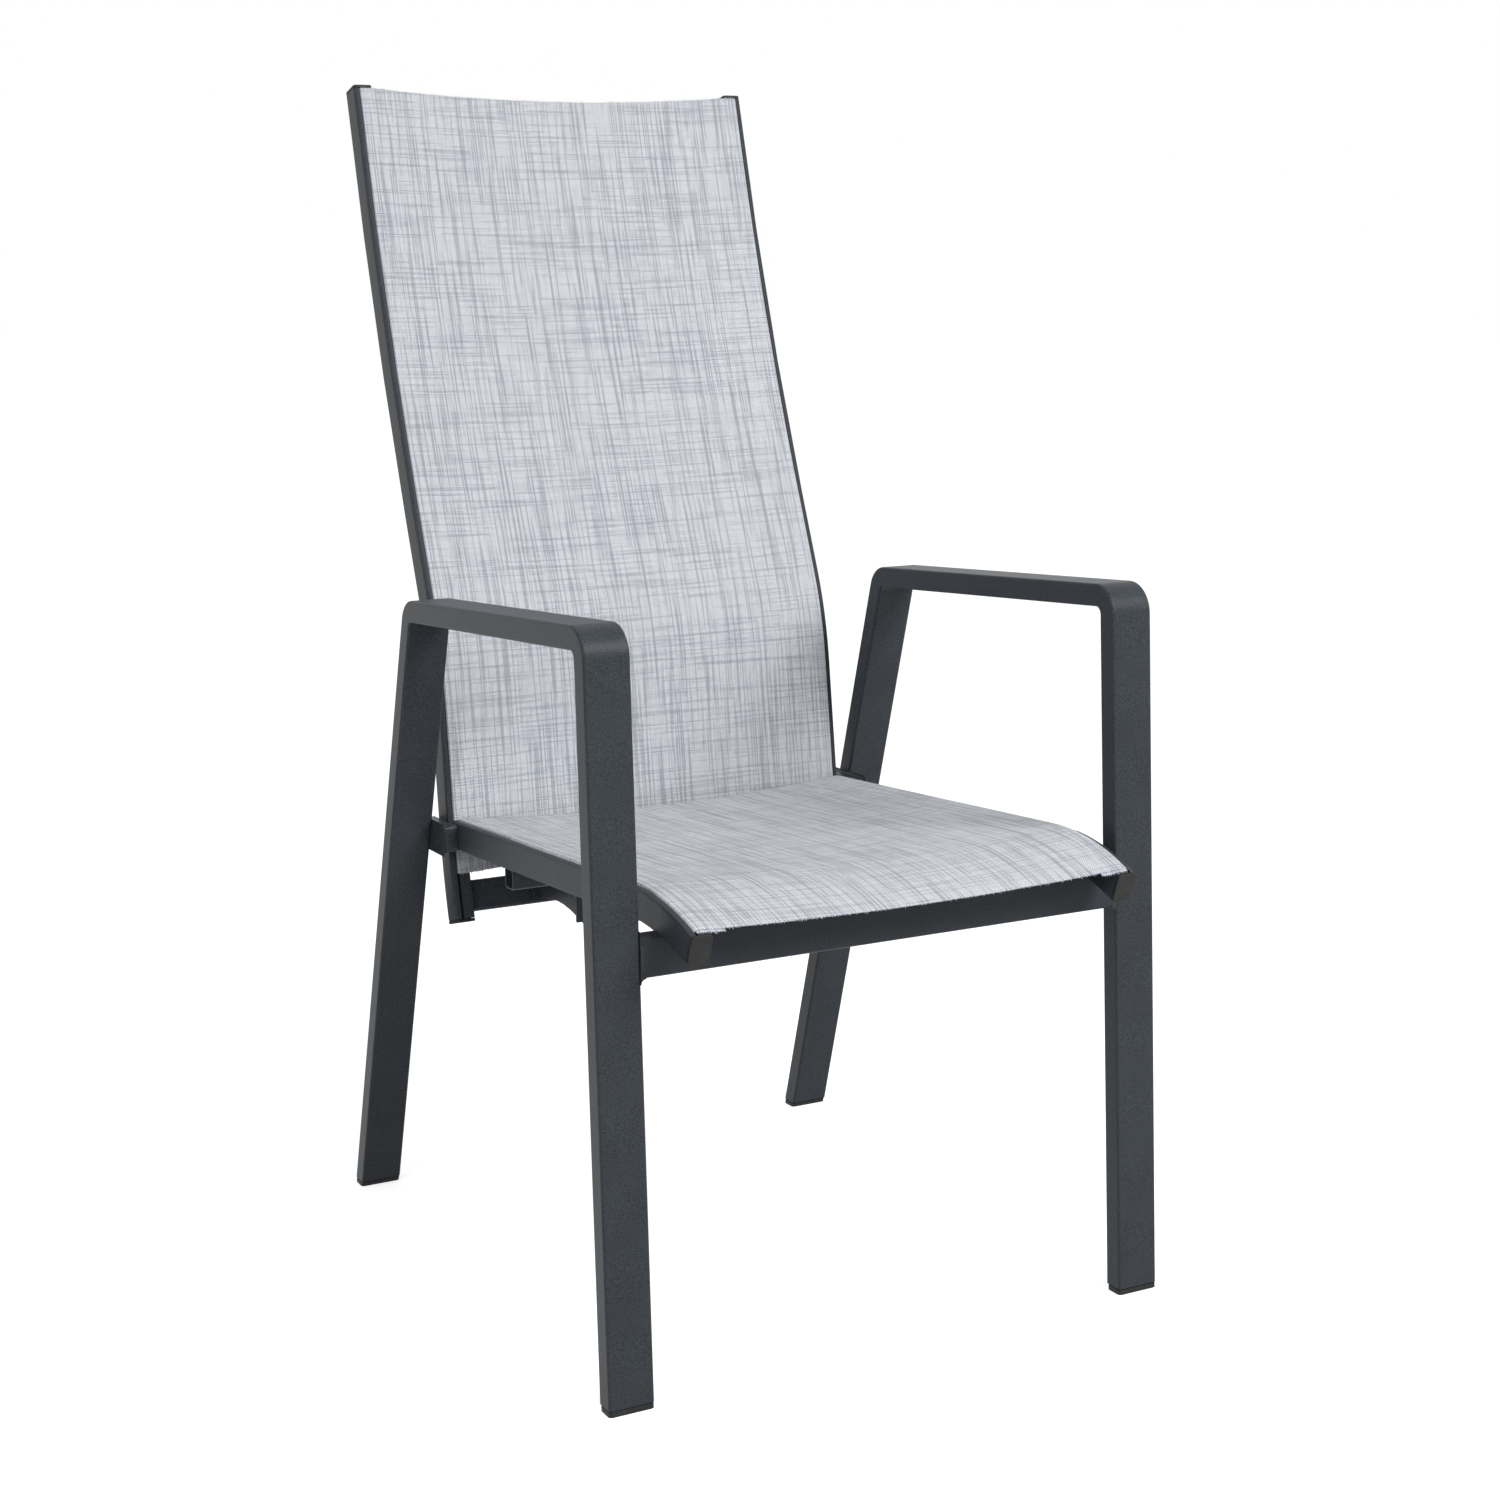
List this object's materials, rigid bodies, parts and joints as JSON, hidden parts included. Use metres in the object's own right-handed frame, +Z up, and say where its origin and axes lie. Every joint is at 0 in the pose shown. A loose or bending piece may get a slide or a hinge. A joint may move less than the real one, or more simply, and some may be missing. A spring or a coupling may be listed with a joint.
{
  "type": "sling patio chair",
  "caption": "High-backed outdoor chair: bent rectangular tube side frames carry a sling seat and a sling back that reclines on two pivots and locks in a ratchet.",
  "frame": {"origin": "on the floor under the middle of the chair's box", "axes": "+Z up, the chair faces -Y, +X to its right as seen from the front"},
  "size_m": [0.562, 0.8138, 1.1672],
  "materials": {
    "frame_coat": "fine textured anthracite powder coat",
    "plastic": "matte black",
    "keder": "extruded rod",
    "zinc": "zinc plated",
    "sling": "woven coated yarn, light grey mix"
  },
  "bodies": {
    "base": {"side_frame_left": "frame_coat", "side_frame_right": "frame_coat", "seat_rail_left": "frame_coat", "seat_rail_right": "frame_coat", "pivot_block_left": "frame_coat", "pivot_block_right": "frame_coat", "ratchet_sector_left": "frame_coat", "ratchet_sector_right": "frame_coat", "front_crossbar": "frame_coat", "seat_spreader": "frame_coat", "foot_plug_front_left": "plastic", "foot_plug_front_right": "plastic", "foot_plug_rear_left": "plastic", "foot_plug_rear_right": "plastic", "seat_cap_front_left": "plastic", "seat_cap_front_right": "plastic", "seat_cap_rear_left": "plastic", "seat_cap_rear_right": "plastic", "seat_keder_left": "keder", "seat_keder_right": "keder", "seat_front_bolt_left": "zinc", "seat_front_bolt_right": "zinc", "pivot_bolt_left": "zinc", "pivot_bolt_right": "zinc", "seat_rear_bolt_left": "zinc", "seat_rear_bolt_right": "zinc", "seat_sling": "sling"},
    "back": {"back_rail_left": "frame_coat", "back_rail_right": "frame_coat", "back_cap_upper_left": "plastic", "back_cap_upper_right": "plastic", "back_cap_lower_left": "plastic", "back_cap_lower_right": "plastic", "back_keder_left": "keder", "back_keder_right": "keder", "pivot_bush_left": "plastic", "pivot_bush_right": "plastic", "recline_bracket_left": "frame_coat", "recline_bracket_right": "frame_coat", "latch_spring_left": "zinc", "latch_spring_right": "zinc", "back_sling": "sling", "back_crossbar": "frame_coat", "upper_spreader": "frame_coat"},
    "latch": {"latch_clip_left": "zinc", "latch_clip_right": "zinc", "latch_bar": "frame_coat"}
  },
  "joints": [
    {"name": "recline", "type": "hinge", "parent": "base", "child": "back", "pos_m": [0, 0.18514, 0.407], "axis": [-1, 0, 0], "range_deg": [0, 20]},
    {"name": "latch", "type": "hinge", "parent": "back", "child": "latch", "pos_m": [0, 0.05969, 0.36134], "axis": [-1, 0, 0], "range_deg": [0, 12]}
  ]
}
